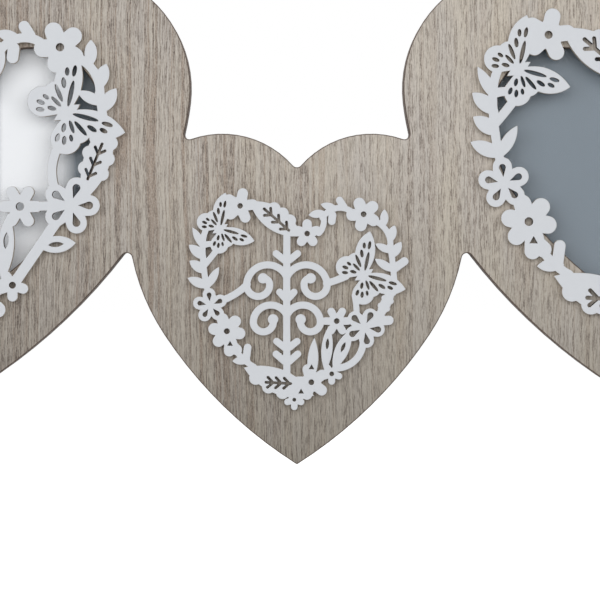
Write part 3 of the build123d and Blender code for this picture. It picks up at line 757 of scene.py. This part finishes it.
def felt_tree(name, sizes, material):
    """Round felt dots with a soft edge and a hairy surface, their tops at the places."""
    tree, given = start_tree(name, sizes)
    fuzz = given["Fuzz"]
    radius = math_node(tree, "SUBTRACT", given["Radius"], fuzz)
    depth = math_node(tree, "SUBTRACT", given["Thickness"], fuzz)
    counts = {"Vertices": FELT_SIDES, "Side Segments": FELT_LAYERS, "Fill Segments": FELT_RINGS}
    disc = add(tree, "GeometryNodeMeshCylinder", {**counts, "Radius": radius, "Depth": depth})
    inputs = {"Mesh": disc.outputs["Mesh"], "Level": FELT_SMOOTHING}
    round_disc = add(tree, "GeometryNodeSubdivisionSurface", inputs)
    half_down = math_node(tree, "MULTIPLY", given["Thickness"], -0.5)
    seated = shifted(tree, round_disc.outputs["Mesh"], vector(tree, z=half_down))
    dots = set_at_places(tree, given["Places"], seated, FULL_TURN)
    inputs = {"Scale": FELT_HAIRS, "Detail": FELT_HAIR_DETAIL, "Roughness": NOISE_ROUGHNESS}
    hairs = add(tree, "TexNoise", inputs).outputs["Fac"]
    lift = math_node(tree, "MULTIPLY", math_node(tree, "SUBTRACT", hairs, NOISE_MIDDLE), fuzz)
    outward = add(tree, "GeometryNodeInputNormal").outputs["Normal"]
    offset = add(tree, "VectorMath", {"Vector": outward, "Scale": lift}, operation="SCALE").outputs["Vector"]
    hairy = add(tree, "GeometryNodeSetPosition", {"Geometry": dots, "Offset": offset})
    return end_tree(tree, hairy.outputs["Geometry"], material)


def repeated_piece(name, node, tree, sizes, crease):
    """The plain mesh that a node tree makes at the places of a CAD node's solids."""
    spots = bpy.data.meshes.new(name + "_places")
    spots.from_pydata(back_places(node), [], [])
    piece = bpy.data.objects.new(name, spots)
    bpy.context.scene.collection.objects.link(piece)
    maker = piece.modifiers.new("maker", "NODES")
    maker.node_group = tree
    for socket in tree.interface.items_tree:
        if socket.name in sizes:
            maker[socket.identifier] = sizes[socket.name]
    made = piece.evaluated_get(bpy.context.evaluated_depsgraph_get())
    mesh = bpy.data.meshes.new_from_object(made)
    piece.modifiers.remove(maker)
    piece.data = mesh
    bpy.data.meshes.remove(spots)
    mesh.shade_smooth()
    mesh.set_sharp_from_angle(angle=crease)
    return piece


# Floor and background
WHITE = (1.0, 1.0, 1.0, 1.0)
FLOOR_GREY = colour(150, 150, 150)


def seen_by_camera(tree):
    """One for what the camera sees straight, by gloss or through the panes, and nought for other light."""
    rays = add(tree, "LightPath").outputs
    seen = math_node(tree, "MAXIMUM", rays["Is Camera Ray"], rays["Is Glossy Ray"])
    return math_node(tree, "MAXIMUM", seen, rays["Is Transmission Ray"])


def studio_white():
    """White to the camera, to gloss and through the panes, and a plain floor to all other light."""
    material, tree, shader = new_finish("studio_white")
    coat(tree, shader, FLOOR_GREY, FLOOR_ROUGHNESS)
    shader.inputs["Emission Color"].default_value = WHITE
    glow = math_node(tree, "MULTIPLY", seen_by_camera(tree), FLOOR_GLOW)
    connect(tree, shader.inputs["Emission Strength"], glow)
    return material


def add_camera(scene, face):
    """The photograph's camera, placed from the board face's lowest point and pointing straight back."""
    middle = PHOTO_SIZE / 2
    camera = bpy.data.cameras.new("camera")
    camera.sensor_width = SENSOR_WIDTH
    camera.lens = SENSOR_WIDTH * CAMERA_DISTANCE / (PHOTO_SIZE * PIXEL)
    camera.shift_x = (middle - TIP_COLUMN) / PHOTO_SIZE
    camera.shift_y = (LENS_ROW - middle) / PHOTO_SIZE
    stand = bpy.data.objects.new("camera", camera)
    stand.location = (0, face.y - CAMERA_DISTANCE, face.z + (TIP_ROW - LENS_ROW) * PIXEL)
    stand.rotation_euler = (QUARTER_TURN, 0, 0)
    scene.collection.objects.link(stand)
    scene.camera = stand


def add_floor(scene, level):
    floor_mesh = bpy.data.meshes.new("floor")
    half = FLOOR_SIZE / 2
    corners = [(-half, -half, level), (half, -half, level), (half, half, level), (-half, half, level)]
    floor_mesh.from_pydata(corners, [], [(0, 1, 2, 3)])
    floor_mesh.materials.append(studio_white())
    floor = bpy.data.objects.new("floor", floor_mesh)
    scene.collection.objects.link(floor)


def add_softbox(scene, name, place, power):
    softbox = bpy.data.lights.new(name, "AREA")
    softbox.shape = "RECTANGLE"
    softbox.size = SOFTBOX_WIDTH
    softbox.size_y = SOFTBOX_HEIGHT
    softbox.energy = power
    lamp = bpy.data.objects.new(name, softbox)
    lamp.location = place
    towards = Vector(SOFTBOX_AIM) - Vector(place)
    lamp.rotation_euler = towards.to_track_quat("-Z", "Y").to_euler()
    scene.collection.objects.link(lamp)


def add_sky(scene):
    """White to the camera, and a dim even light to all else."""
    world = bpy.data.worlds.new("studio")
    world.use_nodes = True
    tree = world.node_tree
    sky = tree.nodes["Background"]
    sky.inputs["Color"].default_value = WHITE
    strength = stepped(tree, seen_by_camera(tree), 0.0, 1.0, SKY_LIGHT, 1.0)
    connect(tree, sky.inputs["Strength"], strength)
    scene.world = world


def set_up_studio():
    scene = bpy.context.scene
    scene.view_settings.view_transform = "Standard"
    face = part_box("wood_veneer")[0]
    add_camera(scene, face)
    add_floor(scene, face.z - FLOOR_DROP)
    add_softbox(scene, "front_softbox", FRONT_LIGHT, FRONT_POWER)
    add_softbox(scene, "back_softbox", BACK_LIGHT, BACK_POWER)
    add_sky(scene)


oak = greyed_oak()
core = fibreboard("board_core", CORE_PALE, CORE_DARK, True)
hardboard = fibreboard("hardboard", HARDBOARD_PALE, HARDBOARD_DARK, False)
paint = white_paint()
pane = clear_pane()
card = grey_card()
steel = plated_steel()
pad_felt = felt()

# The board's face and the wreaths
dress("heart_board", core)
stand_in(shaped_piece("oak_face", eased_sheet("wood_veneer", VENEER_EASE)), oak, "wood_veneer")
for place in ("left", "centre", "right"):
    openwork = shaped_piece(f"{place}_openwork", eased_sheet(f"{place}_wreath", WREATH_EASE))
    stand_in(openwork, paint, f"{place}_wreath")

# Screws and felt dots, as long and as thick as in the CAD model
pivot_low, pivot_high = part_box("left_turn_button_screws")
pivot_sizes = {**PIVOT_SCREW, **CROSS, "Length": pivot_high.y - pivot_low.y}
pivot_tree = screw_tree("round_headed_screws", True, pivot_sizes, steel)
plate_low, plate_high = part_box("hanger_screws")
plate_sizes = {**PLATE_SCREW, **CROSS, "Length": plate_high.y - plate_low.y}
plate_tree = screw_tree("flat_headed_screws", False, plate_sizes, steel)
pad_low, pad_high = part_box("wall_pads")
pad_sizes = {"Radius": FELT_RADIUS, "Thickness": pad_high.y - pad_low.y, "Fuzz": FELT_FUZZ}
pad_tree = felt_tree("felt_dots", pad_sizes, pad_felt)

plate_screws = repeated_piece("plate_screws", "hanger_screws", plate_tree, plate_sizes, SHARP_EDGE)
stand_in(plate_screws, steel, "hanger_screws")
dots = repeated_piece("felt_dots", "wall_pads", pad_tree, pad_sizes, NO_SHARP_EDGE)
stand_in(dots, pad_felt, "wall_pads")

# What each photo heart holds
for side in ("left", "right"):
    low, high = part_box(f"{side}_photo_insert")
    paper = insert_paper(f"{side}_insert_paper", (low.x + high.x) / 2)
    insert = shaped_piece(f"{side}_insert", set_back(f"{side}_photo_insert", INSERT_GAP))
    stand_in(insert, paper, f"{side}_photo_insert")
    dress(f"{side}_glazing", pane)
    dress(f"{side}_filler_card", card)
    dress(f"{side}_back_panel", hardboard)
    plate = shaped_piece(f"{side}_keyhole_plate", softened(f"{side}_hanger_plate", STEEL_EASE))
    stand_in(plate, steel, f"{side}_hanger_plate")
    node = f"{side}_turn_button_screws"
    pivots = repeated_piece(f"{side}_pivot_screws", node, pivot_tree, pivot_sizes, SHARP_EDGE)
    stand_in(pivots, steel, node)
    for row in ("upper", "lower"):
        for edge in ("outer", "inner"):
            node = f"{side}_turn_button_{row}_{edge}"
            button = shaped_piece(f"{side}_button_{row}_{edge}", softened(node, STEEL_EASE))
            stand_in(button, steel, node, node)

set_up_studio()
